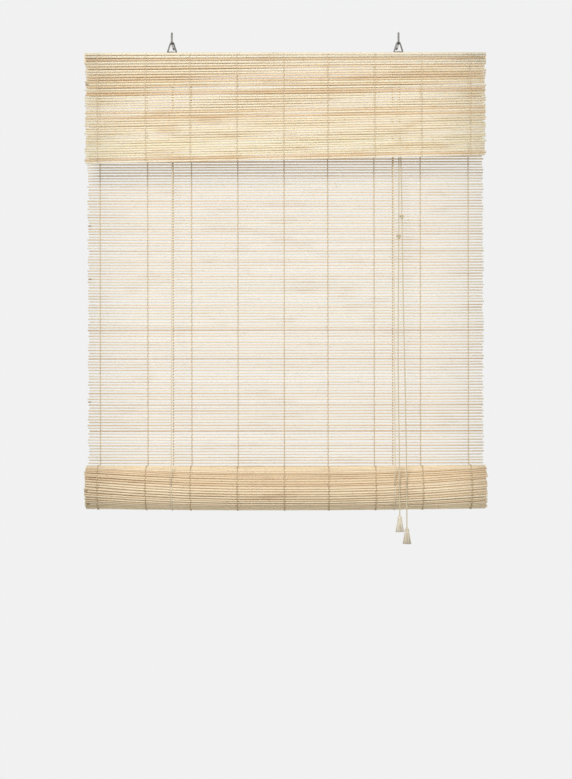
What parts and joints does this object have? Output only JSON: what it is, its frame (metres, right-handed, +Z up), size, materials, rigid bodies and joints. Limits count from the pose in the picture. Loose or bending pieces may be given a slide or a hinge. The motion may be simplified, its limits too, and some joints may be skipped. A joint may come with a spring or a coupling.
{
  "type": "reed roll-up blind",
  "caption": "Natural reed roll-up window blind with a valance, hung on wall hooks by wire triangles and raised by pull cords with strand tassels.",
  "frame": {"origin": "on the wall plane, midway between the shanks of the two wall hooks", "axes": "+Z up, +Y into the wall along the hooks' shanks, +X to the right for someone who faces the blind"},
  "size_m": [0.6, 0.0997, 0.765],
  "materials": {
    "reed": "dry natural reed, unvarnished",
    "batten": "plain planed softwood",
    "thread": "twisted warp thread",
    "cord": "braided cord",
    "steel": "bent wire and sheet, zinc plated",
    "tassel": "bundle of cotton strands"
  },
  "bodies": {
    "hooks": {"hook_left": "steel", "hook_right": "steel", "hanger_left": "steel", "hanger_right": "steel"},
    "head": {"head_rail": "batten", "strap_left": "steel", "strap_right": "steel", "strap_nails": "steel", "valance": "reed", "valance_threads": "thread", "reed_mat": "reed", "mat_threads": "thread", "guide_eye_left": "steel", "guide_eye_right": "steel", "cord_tacks": "steel", "lock_frame": "steel", "lock_bar": "steel", "lock_cam_pin": "steel", "lock_screws": "steel", "back_cord_left": "cord", "back_cord_right": "cord", "front_cord_left": "cord", "front_cord_right": "cord", "cross_cord_left": "cord", "cross_cord_right": "cord", "pull_cord_1": "cord", "pull_cord_2": "cord"},
    "slings": {"sling_left": "cord", "sling_right": "cord", "hanging_cord_1": "cord", "hanging_cord_2": "cord"},
    "roll": {"reed_roll": "reed", "roll_threads": "thread", "bottom_bar": "batten"},
    "lock_cam": {"lock_cam": "steel"},
    "tassel_1": {"tassel_1": "tassel"},
    "tassel_2": {"tassel_2": "tassel"}
  },
  "joints": [
    {"name": "blind_swing", "type": "hinge", "parent": "hooks", "child": "head", "pos_m": [0, -0.0275, -0.0132], "axis": [-1, 0, 0], "range_deg": [0, 45]},
    {"name": "roll_lift", "type": "slide", "parent": "head", "child": "slings", "axis": [0, 0, 1], "range_m": [0, 0.36], "deforming": ["reed_mat", "mat_threads", "back_cord_left", "back_cord_right", "front_cord_left", "front_cord_right", "pull_cord_1", "pull_cord_2"]},
    {"name": "roll_turn", "type": "hinge", "parent": "slings", "child": "roll", "pos_m": [0, -0.0365, -0.66546], "axis": [-1, 0, 0], "range_deg": [0, 620], "deforming": ["sling_left", "sling_right"]},
    {"name": "tassel_1_pull", "type": "slide", "parent": "slings", "child": "tassel_1", "axis": [0, 0, -1], "range_m": [0, 1.08], "deforming": ["hanging_cord_1"]},
    {"name": "tassel_2_pull", "type": "slide", "parent": "slings", "child": "tassel_2", "axis": [0, 0, -1], "range_m": [0, 1.08], "deforming": ["hanging_cord_2"]},
    {"name": "lock_cam_turn", "type": "hinge", "parent": "head", "child": "lock_cam", "pos_m": [0.17965, -0.014, -0.04041], "axis": [0, -1, 0], "range_deg": [0, 30]}
  ],
  "couplings": [
    {"joint": "roll_turn", "follows": "roll_lift", "rad_per_m": 29.851},
    {"joint": "tassel_1_pull", "follows": "roll_lift", "ratio": 3},
    {"joint": "tassel_2_pull", "follows": "roll_lift", "ratio": 3}
  ]
}
